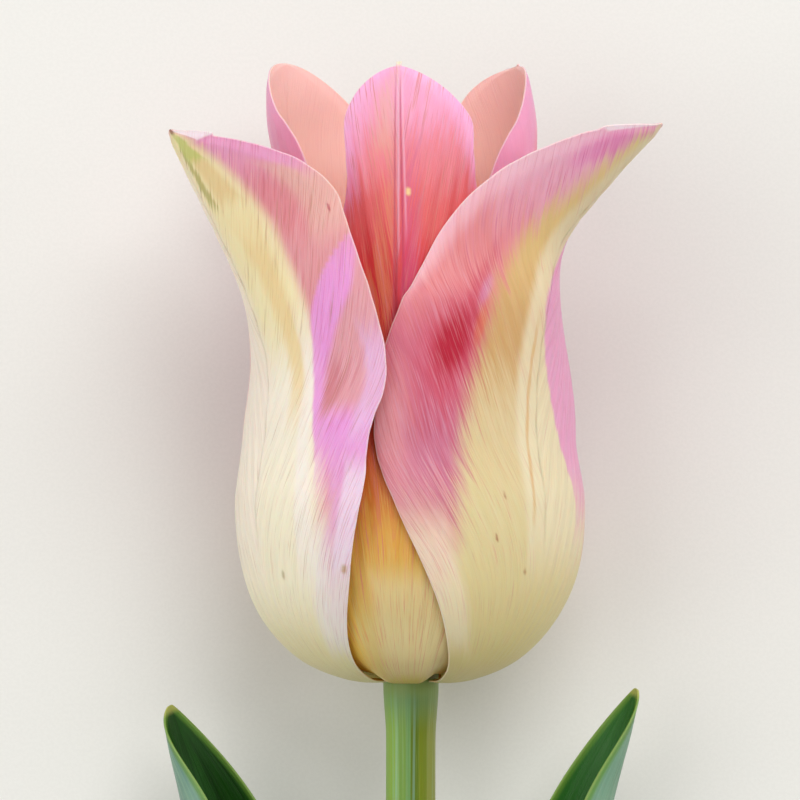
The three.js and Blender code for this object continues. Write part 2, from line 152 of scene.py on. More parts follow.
def new_material(name, *marks):
    """An empty material, its node tree, and the piece's own marks as outputs."""
    material = bpy.data.materials.new(name)
    material.use_nodes = True
    tree = material.node_tree
    tree.nodes.clear()
    outputs = [add_node(tree, "Attribute", output="Fac", attribute_name=mark) for mark in marks]
    return material, tree, outputs


def grain(tree, place, cells, detail=3.0):
    """Noise from 0 to 1, at a place in millimetres, with so many cells to a millimetre each way."""
    scaled = add_node(tree, "Mapping", {"Vector": place, "Scale": cells})
    links = {"Vector": scaled, "Scale": 1.0, "Detail": detail, "Roughness": NOISE_ROUGHNESS}
    return add_node(tree, "TexNoise", links, "Fac")


def washes(tree, colour, layers):
    """Washes of colour laid one over the other: each sets in smoothly where a pattern goes from one bound
    to another, and covers up to a share of what lies under it."""
    for pattern, low, high, cover, wash in layers:
        links = {"Value": pattern, "From Min": low, "From Max": high, "To Max": cover}
        share = add_node(tree, "MapRange", links, interpolation_type="SMOOTHSTEP")
        colour = add_node(tree, "Mix", {0: share, 6: colour, 7: wash}, 2, data_type="RGBA")
    return colour


def finish(tree, colour, relief, depth, roughness, **sockets):
    """The shader of a surface: its colour, its relief and how deep that is in metres, and its roughness."""
    normal = add_node(tree, "Bump", {"Height": relief, "Distance": depth})
    links = {"Base Color": colour, "Roughness": roughness, "Normal": normal}
    links.update({name.replace("_", " "): value for name, value in sockets.items()})
    add_node(tree, "OutputMaterial", {"Surface": add_node(tree, "BsdfPrincipled", links)})


def stem_material():
    # Live plant skin under wax: satin, in long stripes of fresh, olive and bluish green across its upper
    # side, partly its own stripes and partly painted light and shade: a pale bluish stripe near the left
    # edge, painted shade in dark olive right of the middle and a paler olive at the right edge. The lower
    # side, towards the floor, is one plain green. Wet plant tissue has an IOR of about 1.4 and, waxed, a
    # roughness of about 0.4.
    material, tree, (round_x, round_z, length, cut) = new_material("waxy stem skin", "round_x", "round_z",
                                                                   "length", "cut")
    place = add_node(tree, "CombineXYZ", {0: round_x, 1: round_z, 2: length})
    streak = grain(tree, place, (1.1, 1.1, 0.012))
    fine = grain(tree, place, (5.0, 5.0, 0.06))
    across = add_node(tree, "Math", {0: streak, 1: 0.5, 2: round_x}, operation="MULTIPLY_ADD")
    # Stripes across the upper side: partly painted light and shade, pale at the left, dark olive right of
    # the middle.
    colour = washes(tree, "#88AC42", [
        (across, -2.0, -1.75, 0.8, "#86AC72"), (across, -1.6, -1.3, 1.0, "#6C9034"),
        (across, -0.55, -0.35, 0.8, "#668F55"), (across, 0.1, 0.3, 1.0, "#566C04"),
        (across, 1.1, 1.4, 1.0, "#6C7A06"), (across, 2.2, 2.7, 1.0, "#868C3C"),
        (round_z, 0.5, 1.8, 1.0, "#78983A"), (streak, 0.55, 0.7, 0.35, "#8FB3A4"),
        (fine, 0.5, 0.75, 0.3, "#A5BC70"), (length, 7.0, 1.0, 0.55, "#6F9366"),
        (length, 2.5, 0.0, 0.7, "#8A9E50"), (cut, 0.4, 0.6, 1.0, "#C9D58E")])
    finish(tree, colour, fine, 0.00005, 0.42, Subsurface_Weight=0.15, Subsurface_Scale=0.001, IOR=1.4)
    return material


share = np.linspace(1, 0, STEM_RINGS)
centres, tangents, stem_length = by_length(STEM_LINE, share)
radii = STEM_RADIUS + (STEM_END_RADIUS - STEM_RADIUS) * share
radii += (NECK_RADIUS - STEM_RADIUS) * (1 - ease((0, NECK_LENGTH), share))
axis = np.array([0, np.cos(BLOOM_TILT), np.sin(BLOOM_TILT)])
heights = np.array([height for _, height in RECEPTACLE])
centres = np.concatenate([centres, STEM_LINE[0] + heights[:, None] * axis])
tangents = np.concatenate([-tangents, np.tile(axis, (len(heights), 1))])
radii = np.concatenate([radii, [radius for radius, _ in RECEPTACLE]])[:, None]
share = np.concatenate([share, np.zeros(len(heights))])[:, None]
angle = np.linspace(0, 2 * np.pi, STEM_SIDES, endpoint=False)[None]
fade = ease(RIDGES_RISING, share) * ease(RIDGES_ENDING, share)
radii = radii - RIDGE_DEPTH * (1 + np.cos(STEM_RIDGES * angle + STEM_RIDGES * share)) / 2 * fade
side = np.array([1.0, 0, 0]) - tangents * tangents[:, :1]
side /= np.linalg.norm(side, axis=1, keepdims=True)
other = np.cross(tangents, side)
rings = centres[:, None] + radii[..., None] * (side[:, None] * np.cos(angle)[..., None]
                                              + other[:, None] * np.sin(angle)[..., None])
rings[..., 1] += BLOOM_BASE[1]
rings[..., 2] = np.maximum(rings[..., 2], 0)
whole = np.ones_like(share * angle)
marks = {"round_x": STEM_RADIUS * np.cos(angle) * whole, "round_z": STEM_RADIUS * np.sin(angle) * whole,
         "length": share * stem_length * whole, "cut": (share >= 1) * whole}
marks = {name: with_poles(values) for name, values in marks.items()}
make_piece("stem_fine", with_poles(rings), tube_faces(len(rings), STEM_SIDES), ["stem"],
           stem_material(), marks)


# Leaves
# Two fleshy blades clasp the stem and lie on the surface as channels. Their inner face is deep green, their
# outer face bluish under wax, with parallel veins from foot to tip and a thin, pale, wavy rim.
LEAF_ROWS = 220
LEAF_COLUMNS = 97
LEAF_THICKNESS = 0.7
LEAF_RIM = 0.3
LEAF_TAPER = 3.0
LEAF_TIP = (0.86, 1.7, 0.85)
LEAF_VEINS = 18
NARROWEST_HALF_WIDTH = 0.3
LEAF_FOLD = np.radians(10)
LEAF_FOLD_SOFTNESS = 1.5
LEAF_WAVE = 1.3
LEAF_WAVES = 3.5
WAVE_SLANT = 2
# Shares of a leaf's length between which its fold, its curl and its waves set in, and the waves end.
LEAF_FOLDING = (0.15, 0.4)
CURLING = (0.6, 0.9)
WAVES_RISING = (0.25, 0.4)
WAVES_DYING = (0.7, 0.85)
SECTION_STEPS = 32
# Shares of a blade's length and of its rows from which the rows draw closer.
TIP_FROM = 0.8
TIP_ROWS_FROM = 0.7
# Each leaf: the side on which the stem lies, how much tighter the far half curls towards the tip, the
# colours of its faces, the midrib in the stem's frame, and at even steps along it the turn of the inner
# face from straight up towards the stem, the radius of the channel, and the half widths near and far from
# the stem.
LEAVES = {
    "leaf_left": dict(
        toward_stem=1, curl=1.85, outer="#567F78", inner="#0C3400",
        midrib=[(-4.35, -165, 5.3), (-5.6, -149, 4.0), (-8, -133, 2.6), (-12.1, -116, 1.5),
                (-16.2, -99, 0.4), (-19, -82, 0.1), (-20.5, -65, 0.9), (-22.2, -48, 3.2),
                (-25, -32, 6.8), (-28.7, -17, 11.2), (-33.2, -2.8, 16)],
        turn=[90, 65, 42, 25, 12, 5, 5, 9, 14, 18, 22],
        channel=[4.35, 5.6, 8, 12, 16, 19, 18, 15, 11.5, 8.4, 4.6],
        near=[6.4, 8.2, 10, 11, 12, 13, 13.4, 13.6, 12.6, 9.4, 5.8],
        far=[6.4, 8.8, 12.5, 16.5, 19, 20, 19.5, 17.5, 15.4, 13, 12]),
    "leaf_right": dict(
        toward_stem=-1, curl=1.75, outer="#648C72", inner="#1B5A10",
        midrib=[(4.3, -195, 4.7), (5.8, -176, 3.7), (8.9, -157, 2.6), (13, -137, 1.4), (16, -118, 0.5),
                (18.5, -98, 0.1), (19.5, -78, 0.7), (20.5, -58, 3.0), (22.3, -38, 7.0), (25.7, -19, 12.2),
                (31, -0.6, 17.2)],
        turn=[90, 62, 40, 24, 12, 5, 5, 14, 28, 40, 44],
        channel=[4.3, 5.9, 9.5, 13, 17, 20, 19, 15, 11, 7.5, 4.2],
        near=[6.4, 7.2, 7.2, 8.4, 11, 12.5, 13, 12.5, 11, 8.6, 6.6],
        far=[6.4, 8.8, 12.5, 16.5, 19, 20, 18.6, 14.8, 11.8, 10.6, 9.6]),
}


def section(width, fold, softness, bend):
    """Where the points at given widths of a blade's cross-section lie, as sideways and inward: the blade
    folds at its midrib, most of it within the softness, and bends on evenly after that."""
    q = width[..., None] * (np.arange(SECTION_STEPS) + 0.5) / SECTION_STEPS
    angle = fold[..., None] * np.tanh(q / softness) + q * bend[..., None]
    return width * np.cos(angle).mean(-1), width * np.sin(angle).mean(-1)


def closing(tip, s):
    """How much of a blade's width is left at share s, where its tip closes."""
    start, fullness, roundness = tip
    t = np.clip((s - start) / (1 - start), 0, 1)
    return (1 - t**fullness) ** roundness


def blade_grid(rows, columns, gather=1.0):
    """Shares along and across a blade: even along it and closer towards its tip, and from -1 to 1 across,
    closer towards the midrib where gather is above 1."""
    u = np.linspace(0, 1, rows)
    in_tip = (u - TIP_ROWS_FROM) / (1 - TIP_ROWS_FROM)
    closer = TIP_FROM + (1 - TIP_FROM) * np.sin(np.pi / 2 * in_tip)
    s = np.where(in_tip < 0, u * TIP_FROM / TIP_ROWS_FROM, closer)
    c = np.linspace(-1, 1, columns)
    return np.meshgrid(s, np.sign(c) * np.abs(c) ** gather, indexing="ij")


def blade_faces(rows, columns):
    """Quads of a blade's two faces and of its rounded rim, and the grid's points round the rim in order."""
    count = rows * columns
    i, j = np.meshgrid(np.arange(rows - 1), np.arange(columns - 1), indexing="ij")
    a = (i * columns + j).ravel()
    first = np.stack([a, a + columns, a + columns + 1, a + 1], -1)
    second = count + first[:, ::-1]
    rim = np.concatenate([np.arange(columns - 1), np.arange(rows - 1) * columns + columns - 1,
                          count - 1 - np.arange(columns - 1), np.arange(rows - 1, 0, -1) * columns])
    edge = 2 * count + np.arange(len(rim))
    after, edge_after = np.roll(rim, -1), np.roll(edge, -1)
    return np.concatenate([first, second, np.stack([rim, after, edge_after, edge], -1),
                           np.stack([edge, edge_after, count + after, count + rim], -1)]).tolist(), rim


def make_blade(name, middle, thickness, material, marks, inner=0, relief=0.0):
    """A closed blade round a grid of points of its middle surface: each face stands off by half the
    thickness, square to the surface, the outer face by its relief more, the rim bulges by a third of the
    thickness, and nothing goes below the floor. The mark inside is 1 on the inner face, 0 on the outer."""
    along, across = np.gradient(middle, axis=0), np.gradient(middle, axis=1)
    square = np.cross(along, across)
    square /= np.linalg.norm(square, axis=-1, keepdims=True)
    both = [middle + (1 - 2 * k) * square * (thickness / 2 + (k != inner) * relief)[..., None]
            for k in (0, 1)]
    lower = np.where(square[..., 2] < 0, 0, 1)
    for k in (0, 1):
        both[k][..., 2] = np.maximum(both[k][..., 2], np.where(lower == k, 0, thickness))
    faces, rim = blade_faces(*middle.shape[:2])
    out = np.zeros_like(middle)
    out[0] -= along[0]
    out[-1] += along[-1]
    out[:, 0] -= across[:, 0]
    out[:, -1] += across[:, -1]
    out = out.reshape(-1, 3)[rim]
    out /= np.linalg.norm(out, axis=1, keepdims=True)
    edge = (both[0].reshape(-1, 3)[rim] + both[1].reshape(-1, 3)[rim]) / 2
    edge = edge + out * thickness.ravel()[rim][:, None] / 3
    edge[:, 2] = np.maximum(edge[:, 2], 0)
    vertices = np.concatenate([both[0].reshape(-1, 3), both[1].reshape(-1, 3), edge])
    marks = {key: np.concatenate([v.ravel(), v.ravel(), v.ravel()[rim]]) for key, v in marks.items()}
    counts = [thickness.size, thickness.size, len(rim)]
    marks["inside"] = np.repeat([1.0 - inner, float(inner), 0.5], counts)
    make_piece(name + "_fine", vertices, faces, [name], material, marks)


def leaf_surface(leaf, s, c):
    """Middle surface of a leaf: its section, a channel whose inner face turns from the stem to straight
    up and whose far half curls in towards the tip, is carried along the midrib, and the margins wave.
    Gives the points and the half width at each."""
    centres, tangents, _ = by_length(leaf["midrib"], s[:, 0])
    upright = np.array([0, 0, 1.0]) - tangents * tangents[:, 2:]
    upright /= np.linalg.norm(upright, axis=1, keepdims=True)
    turn = np.radians(through(leaf["turn"], s[:, 0]))[:, None]
    inward = upright * np.cos(turn) + np.cross(tangents, upright) * leaf["toward_stem"] * np.sin(turn)
    side = np.cross(tangents, inward)
    far = c * leaf["toward_stem"] < 0
    full = np.where(far, through(leaf["far"], s), through(leaf["near"], s))
    full = full * closing(LEAF_TIP, s) + NARROWEST_HALF_WIDTH
    curl = np.where(far, 1 + (leaf["curl"] - 1) * ease(CURLING, s), 1)
    sideways, depth = section(np.abs(c) * full, LEAF_FOLD * ease(LEAF_FOLDING, s), LEAF_FOLD_SOFTNESS,
                              curl / through(leaf["channel"], s))
    wave = LEAF_WAVE * np.sin(2 * np.pi * LEAF_WAVES * s + WAVE_SLANT * c) * c**4
    depth = depth + wave * ease(WAVES_RISING, s) * (1 - ease(WAVES_DYING, s))
    points = centres[:, None] + side[:, None] * (np.sign(c) * sideways)[..., None]
    return points + inward[:, None] * depth[..., None] + [0, BLOOM_BASE[1], 0], full


def leaf_material(name, outer, inner):
    # Leaf skin: deep green and satin inside, bluish-grey under wax outside, with veins about 0.9 mm
    # apart. The finest lines of a real leaf, ten to a millimetre, are drawn half as close, so that they
    # show.
    material, tree, (vein, length, margin, tip, inside) = new_material(
        name, "vein", "length", "margin", "tip", "inside")
    place = add_node(tree, "CombineXYZ", {0: vein, 1: length})
    streak = grain(tree, place, (1.1, 0.012, 1))
    fine = grain(tree, place, (5.0, 0.05, 1))
    blotch = grain(tree, place, (0.12, 0.05, 1))
    outer = washes(tree, outer, [(streak, 0.35, 0.65, 0.8, "#7C9E86"), (blotch, 0.4, 0.7, 0.6, "#8CAE90"),
                                 (fine, 0.5, 0.8, 0.3, "#A8C6A8")])
    inner = washes(tree, inner, [(streak, 0.35, 0.65, 0.5, "#1F5A0E"), (blotch, 0.45, 0.7, 0.35, "#2A6A1C"),
                                 (fine, 0.5, 0.8, 0.15, "#4C8038")])
    colour = washes(tree, outer, [
        (inside, 0.45, 0.55, 1.0, inner), (margin, 1.1, 0.4, 0.8, "#5C882C"),
        (margin, 0.35, 0.12, 0.5, "#8CA654"), (tip, 1.4, 0.3, 0.8, "#B4B45C")])
    relief = add_node(tree, "Math", {0: streak, 1: 2.0, 2: fine}, operation="MULTIPLY_ADD")
    finish(tree, colour, relief, 0.00005, 0.4, Subsurface_Weight=0.1, Subsurface_Scale=0.001, IOR=1.42)
    return material


s, c = blade_grid(LEAF_ROWS, LEAF_COLUMNS)
for name, leaf in LEAVES.items():
    middle, full = leaf_surface(leaf, s, c)
    margin = (1 - np.abs(c)) * full
    length = by_length(leaf["midrib"], s[:, 0])[2]
    thickness = LEAF_RIM + (LEAF_THICKNESS - LEAF_RIM) * ease((0, LEAF_TAPER), margin)
    skin = leaf_material(name.replace("_", " ") + " waxy skin", leaf["outer"], leaf["inner"])
    marks = {"margin": margin, "vein": c * LEAF_VEINS, "length": s * length, "tip": (1 - s) * length}
    make_blade(name, middle, thickness, skin, marks, inner=1)


# Pistil
# A plump green ovary of three joined chambers stands on the receptacle and ends in a cream stigma of three
# downy lobes.
PISTIL_RINGS = 120
PISTIL_SIDES = 72
CHAMBERS = 3
# Radius at heights above the bloom's base.
PISTIL = [(1.9, 3.9), (2.1, 5.0), (2.9, 10), (3.1, 17), (2.7, 23), (2.3, 26), (3.4, 28), (4.0, 29.5),
          (3.0, 30.6)]
OVARY_LOBE = 0.12
STIGMA_LOBE = 0.34
# Heights between which the ovary's grooves deepen to those of the stigma.
STIGMA_RISING = (25.5, 27)


def bloom_to_world(points):
    """Turns points from the bloom's own frame, Y along its axis, by its tilt and puts them on its base."""
    x, y, z = points[..., 0], points[..., 1], points[..., 2]
    return BLOOM_BASE + np.stack([x, y * np.cos(BLOOM_TILT) - z * np.sin(BLOOM_TILT),
                                  y * np.sin(BLOOM_TILT) + z * np.cos(BLOOM_TILT)], -1)


def pistil_material():
    # Ovary skin, smooth and half matt with a few long paler streaks, under a stigma of sticky, velvety
    # down, whose grain of 0.1 mm is drawn at 0.4 mm, so that it shows.
    material, tree, (round_x, round_z, height) = new_material("pistil skin", "round_x", "round_z", "height")
    place = add_node(tree, "CombineXYZ", {0: round_x, 1: round_z, 2: height})
    streak = grain(tree, place, (1.0, 1.0, 0.1))
    down = grain(tree, place, (2.5, 2.5, 2.5))
    colour = washes(tree, "#9CB254", [
        (streak, 0.4, 0.65, 0.7, "#C3CC7E"), (height, 24.5, 26.5, 1.0, "#E8DFA6"),
        (down, 0.5, 0.7, 0.3, "#F3EDC4")])
    finish(tree, colour, down, 0.00008, 0.5, Subsurface_Weight=0.15, Subsurface_Scale=0.001, IOR=1.4)
    return material


share = np.linspace(0, 1, PISTIL_RINGS)
profile = through(PISTIL, share)
angle = np.linspace(0, 2 * np.pi, PISTIL_SIDES, endpoint=False)[None]
lobe = OVARY_LOBE + (STIGMA_LOBE - OVARY_LOBE) * ease(STIGMA_RISING, profile[:, 1:])
reach = profile[:, :1] * (1 - lobe * (0.5 - 0.5 * np.cos(CHAMBERS * angle)))
rings = np.stack([reach * np.sin(angle), profile[:, 1:] + 0 * angle, reach * np.cos(angle)], -1)
marks = {"round_x": rings[..., 0], "round_z": rings[..., 2], "height": rings[..., 1]}
marks = {name: with_poles(values) for name, values in marks.items()}
make_piece("pistil_fine", with_poles(bloom_to_world(rings)), tube_faces(PISTIL_RINGS, PISTIL_SIDES),
           ["pistil"], pistil_material(), marks)


# Stamens
# Six stamens ring the pistil: a pale tapering filament carries an upright dark anther of four long sacs,
# dusty with pollen.
STAMENS = 6
FIRST_STAMEN = np.radians(24)
# Foot and tip, as distance from the bloom's axis and height above its base, and radii at even steps.
FILAMENT = [(3.0, 3.9), (5.9, 14.0), (0.75, 0.7, 0.55, 0.35)]
ANTHER = [(5.98, 14.3), (8.2, 28.5), (0.7, 1.5, 1.6, 1.4, 0.6)]
FILAMENT_GRID = (30, 20)
ANTHER_GRID = (60, 40)
ANTHER_LOBES = 4
ANTHER_GROOVE = 0.22


def rod(foot, tip, radii, azimuth, rows, sides, lobes=0, depth=0.0):
    """Rings round a straight line between two points, given as distance from the bloom's axis and height,
    with flutes in its side."""
    ends = [np.array([r * np.sin(azimuth), h, r * np.cos(azimuth)]) for r, h in (foot, tip)]
    share = np.linspace(0, 1, rows)
    run = (ends[1] - ends[0]) / np.linalg.norm(ends[1] - ends[0])
    side = np.cross(run, [np.cos(azimuth), 0, -np.sin(azimuth)])
    other = np.cross(run, side)
    angle = np.linspace(0, 2 * np.pi, sides, endpoint=False)[None]
    reach = through(radii, share)[:, None] * (1 - depth * (0.5 - 0.5 * np.cos(lobes * angle)))
    centre = ends[0] + share[:, None] * (ends[1] - ends[0])
    around = side * np.cos(angle)[..., None] + other * np.sin(angle)[..., None]
    return centre[:, None] + reach[..., None] * around


def stamen_material(name, dark, light, cells, depth, roughness):
    # Filaments are smooth, moist and pale. Anthers are dry and quite matt under pollen grains of 0.05 mm,
    # drawn at 0.25 mm, so that they show.
    material, tree, (x, y, z) = new_material(name, "place_x", "place_y", "place_z")
    dust = grain(tree, add_node(tree, "CombineXYZ", {0: x, 1: y, 2: z}), (cells,) * 3)
    finish(tree, washes(tree, dark, [(dust, 0.4, 0.65, 1.0, light)]), dust, depth, roughness)
    return material


filament_skin = stamen_material("filament tissue", "#D9CE98", "#EFE6BC", 1.5, 0.00003, 0.5)
anther_skin = stamen_material("pollen-dusted anther", "#2E241C", "#6A543C", 4.0, 0.0001, 0.9)
for i in range(STAMENS):
    azimuth = FIRST_STAMEN + 2 * np.pi * i / STAMENS
    for part, skin, grid, rings in (
            ("filament", filament_skin, FILAMENT_GRID, rod(*FILAMENT, azimuth, *FILAMENT_GRID)),
            ("anther", anther_skin, ANTHER_GRID,
             rod(*ANTHER, azimuth, *ANTHER_GRID, ANTHER_LOBES, ANTHER_GROOVE))):
        place = with_poles(rings)
        node = f"{part}_{i + 1}"
        make_piece(node + "_fine", bloom_to_world(place), tube_faces(*grid), [node], skin,
                   {"place_" + "xyz"[k]: place[:, k] for k in range(3)})


# Tepals
# Three outer and three inner petal-like tepals, half a millimetre thick, stand in two whorls, their feet
# between each other's. A cream band runs up each outer one between flanks that are flushed rose and lilac
# along the veins, and every margin thins out to a pale rim, partly the thin tissue's own paler colour and
# partly a painted highlight.
TEPAL_ROWS = 190
TEPAL_COLUMNS = 121
TEPAL_GATHER = 1.2
TEPAL_THICKNESS = 0.64
TEPAL_RIM = 0.24
TEPAL_TAPER = 2.5
FOLD_SOFTNESS = 2.5
LARGEST_BEND_RADIUS = 24
# Shares of a tepal's length between which it changes, as in leaning square to its midrib, and shares of
# its half width over which the bulge of its foot runs out.
LEANING = (0.5, 0.78)
SWINGING = (0.45, 0.85)
FOLDING = (0.48, 0.85)
UNBENDING = (0.42, 0.72)
STANDING_OFF = (0.2, 0.4)
CLOSING_IN = (0.7, 0.9)
BULGE_ENDING = (0.06, 0.2)
BULGE_MARGIN = (0.35, 0.75)
FLAP_ENDING = (0.985, 1)
WAVER_HEIGHT = 0.05
WAVER_RISING = (0.3, 0.5)
WAVER_ENDING = (0.9, 1)
WAVERS = [(53, 1.0), (97, 0.7), (171, 0.5)]
SIDE_PHASE = 9
# Midribs are given as distance from the bloom's axis and height above its base, and those of a ring are
# alike up to the belly. Each tepal: the azimuth of its midrib from the viewer, turned by its swing above
# the waist, the fold at its midrib, the bend of each half above the waist as a multiple of the bend round
# the belly, how far each margin stands off outward, how deep its foot bulges, the half widths at even
# steps along it, how its tip closes, as start, fullness and roundness, a flap at the tip, as width, start
# and end, the length of a nub, and its ridges, as lines.
OUTER_BOWL = [(4.2, 0.5), (9.4, 1.1), (15.3, 3.8), (20.2, 9.2), (22.8, 16.0)]
INNER_BOWL = [(4.2, 1.6), (9.3, 2.25), (14.8, 4.9), (19.1, 10.2), (21.3, 16.5)]
TEPALS = {
    "outer_tepal_left": dict(
        azimuth=-60, swing=0, fold=(38, 34), bend=(0.3, 0.5), stand_off=(0, 2.8), bulge=0,
        midrib=OUTER_BOWL + [(23.7, 25), (22.3, 34.5), (22.0, 43.5), (24.9, 52.5), (29.0, 60.5),
                             (33.0, 67.6), (36.8, 74.6)],
        left=[1.2, 6.2, 13, 18, 20, 20.8, 20.6, 20, 19.4, 18.5, 16],
        right=[0.7, 6.0, 11.2, 16.6, 20.1, 20.2, 21.7, 20.5, 18.8, 19.0, 23.0],
        tip=[(0.8, 1.9, 1), (0.8, 1.9, 1)], flap=(1.1, 0.97, 0.977)),
    "outer_tepal_right": dict(
        azimuth=49, swing=8, fold=(38, 44), bend=(0.5, 0.5), stand_off=(-0.6, 0.3), bulge=0,
        midrib=[(4.2, 0.5), (9.4, 1.1), (15.1, 3.8), (19.8, 9.2), (22.6, 16.0), (23.3, 25), (21.8, 34),
                (21.6, 43), (22.5, 51.5), (24.0, 60), (31.2, 68.0), (39.2, 75.2)],
        left=[0.7, 6.0, 12.0, 17.6, 21.8, 23.0, 22.2, 18.8, 13.1, 11.5, 14.0],
        right=[1.2, 6.2, 13, 18, 20.4, 20.8, 19.0, 16.6, 14.4, 12.8, 12.0],
        tip=[(0.82, 1.9, 1), (0.82, 1.9, 1)], flap=(-0.6, 0.94, 0.955)),
    "outer_tepal_back": dict(
        azimuth=176, swing=0, fold=(22, 22), bend=(0.5, 0.5), stand_off=(0, 0), bulge=0,
        midrib=OUTER_BOWL + [(23.8, 25), (22.8, 34.5), (21.9, 43.5), (22.8, 52), (25.0, 60), (27.8, 66.5),
                             (31.0, 72)],
        left=[1.2, 6.2, 13, 18, 20.4, 20.8, 20, 18.6, 17, 15, 12],
        right=[1.2, 6.2, 13, 18, 20.4, 20.8, 20, 18.6, 17, 15, 12],
        tip=[(0.8, 1.8, 1), (0.8, 1.8, 1)]),
    "inner_tepal_front": dict(
        azimuth=-6, swing=0, fold=(0, 0), bend=(1.2, 1.2), stand_off=(0, 0), bulge=1.05,
        midrib=INNER_BOWL + [(21.6, 25), (20.3, 34.5), (19.0, 43.5), (17.8, 52.5), (17.1, 61), (16.8, 69),
                             (16.6, 77), (15.6, 83.8)],
        left=[3.2, 7.8, 13.2, 16.4, 18.2, 18, 15.8, 10.8, 7.3, 7.5, 7.9],
        right=[3.2, 7.8, 13.2, 16.4, 18.2, 18, 16.6, 13.6, 11.2, 10.4, 10.6],
        tip=[(0.91, 2, 0.68), (0.91, 1.7, 0.8)], nub=0.006,
        ridges=[((0.5, 0.99), 0.1, 0.0, 0.4, 14), ((0.5, 0.99), 1.7, 0.5, 0.4, 14)]),
    "inner_tepal_left": dict(
        azimuth=-123, swing=0, fold=(0, 0), bend=(1.6, 1.6), stand_off=(0, 0), bulge=1.05,
        midrib=INNER_BOWL + [(22.2, 25), (21.0, 34.5), (19.6, 43.5), (18.6, 52.5), (18.3, 61), (19.2, 69),
                             (20.8, 77), (20.8, 85.8)],
        left=[3.2, 7.8, 13.2, 16.4, 18.4, 18.6, 17.8, 17, 16.4, 14.9, 12.4],
        right=[3.2, 7.8, 13.2, 16.4, 18.4, 18.6, 17.8, 17, 16.8, 16.1, 14],
        tip=[(0.82, 2.4, 0.5), (0.8, 2.2, 0.5)]),
    "inner_tepal_right": dict(
        azimuth=111, swing=0, fold=(0, 0), bend=(1.6, 1.6), stand_off=(0, 0), bulge=1.05,
        midrib=INNER_BOWL + [(21.8, 25), (20.4, 34.5), (19.0, 43.5), (18.0, 52.5), (17.3, 61), (17.3, 69),
                             (17.4, 77), (15.9, 85.2)],
        left=[3.2, 7.8, 13.2, 16.4, 18.4, 18.6, 17.8, 17, 16.4, 14.4, 12],
        right=[3.2, 7.8, 13.2, 16.4, 18.4, 18.6, 17.8, 16.6, 15.0, 13.8, 14.2],
        tip=[(0.8, 2, 0.5), (0.8, 4, 0.4)], nub=0.003),
}
RIB_SPACING = 2.3
RIB_HEIGHT = 0.06
RIB_MARGIN = (0.5, 3)
RIBS_RISING = (0.05, 0.3)
RIBS_ENDING = (0.8, 0.95)
RIDGE_HEIGHT = 0.06
BELLY_HALF_WIDTH = 20
VEINS_THINNING = (0.35, 0.6)
VEIN_SLANT = {"outer": 0.5, "inner": 0.18}
VEIN_SLANT_FROM = 0.25
VEIN_TURN = 14
FLANK_REACH = 9


def tepal_surface(tepal, s, c):
    """Middle surface of a tepal in the bloom's frame: its section, folded at the midrib and bent round the
    bloom, is carried up the midrib and turns square to it towards the tip. The foot bulges out between its
    neighbours, the margins waver, and a flap or a nub stands out at the tip. Gives the points and the half
    width at each."""
    def halves(pair):
        """The first of two values on the left of the midrib, the second on its right."""
        return np.where(c < 0, pair[0], pair[1])

    line, tangent, _ = by_length(tepal["midrib"], s[:, 0])
    lean = np.arctan2(tangent[:, :1], tangent[:, 1:]) * ease(LEANING, s[:, :1])
    azimuth = np.radians(tepal["azimuth"] + tepal["swing"] * ease(SWINGING, s[:, :1]))
    closed = s / (1 - tepal.get("nub", 0))
    full = halves([through(tepal[side], s) * closing(tepal["tip"][k], closed) + NARROWEST_HALF_WIDTH
                   for k, side in enumerate(("left", "right"))])
    flap, start, end = tepal.get("flap", (0, 0.9, 1))
    flapped = ease((start, end), s) * (1 - ease(FLAP_ENDING, s))
    full = full + abs(flap) * halves([flap < 0, flap > 0]) * flapped
    phases = (SIDE_PHASE * np.sign(c), tepal["azimuth"], 0)
    waver = sum(size * np.sin(pace * s + phase) for (pace, size), phase in zip(WAVERS, phases))
    full = full + WAVER_HEIGHT * waver * ease(WAVER_RISING, s) * (1 - ease(WAVER_ENDING, s))
    fold = np.radians(halves(tepal["fold"])) * ease(FOLDING, s)
    belly_bend = 1 / np.minimum(line[:, :1], LARGEST_BEND_RADIUS)
    bend = (1 + (halves(tepal["bend"]) - 1) * ease(UNBENDING, s)) * belly_bend
    sideways, inward = section(np.abs(c) * full, fold, FOLD_SOFTNESS, bend)
    inward = inward - halves(tepal["stand_off"]) * c**2 * ease(STANDING_OFF, s) * (1 - ease(CLOSING_IN, s))
    bulge = tepal["bulge"] * (1 - ease(BULGE_ENDING, s)) * (1 - ease(BULGE_MARGIN, np.abs(c)))
    radius = line[:, :1] + bulge * tangent[:, 1:]
    height = line[:, 1:] - bulge * tangent[:, :1]
    flat = np.zeros_like(azimuth)
    outward = np.stack([np.sin(azimuth), flat, np.cos(azimuth)], -1)
    side = np.stack([np.cos(azimuth), flat, -np.sin(azimuth)], -1)
    axis = np.array([0, 1.0, 0])
    to_axis = -outward * np.cos(lean)[..., None] + axis * np.sin(lean)[..., None]
    points = outward * radius[..., None] + axis * height[..., None]
    points = points + side * (np.sign(c) * sideways)[..., None] + to_axis * inward[..., None]
    return points, full


def zone(s, c, full, length, span, low, high, soft, fade):
    """How far inside a zone of colour a point lies, from 0 to 1 and 0.5 on its border. The zone runs
    between two shares of the length and between two borders, given as shares of the half width at even
    steps; its sides are soft over so many millimetres and its ends fade over so many."""
    t = (s - span[0]) / (span[1] - span[0])
    low, high = (through(b, t) if isinstance(b, list) else b for b in (low, high))
    across = np.minimum(c - low, high - c) * full / soft
    along = np.minimum(s - span[0], span[1] - s) * length / fade
    return np.clip(0.5 + np.minimum(across, along), 0, 1)


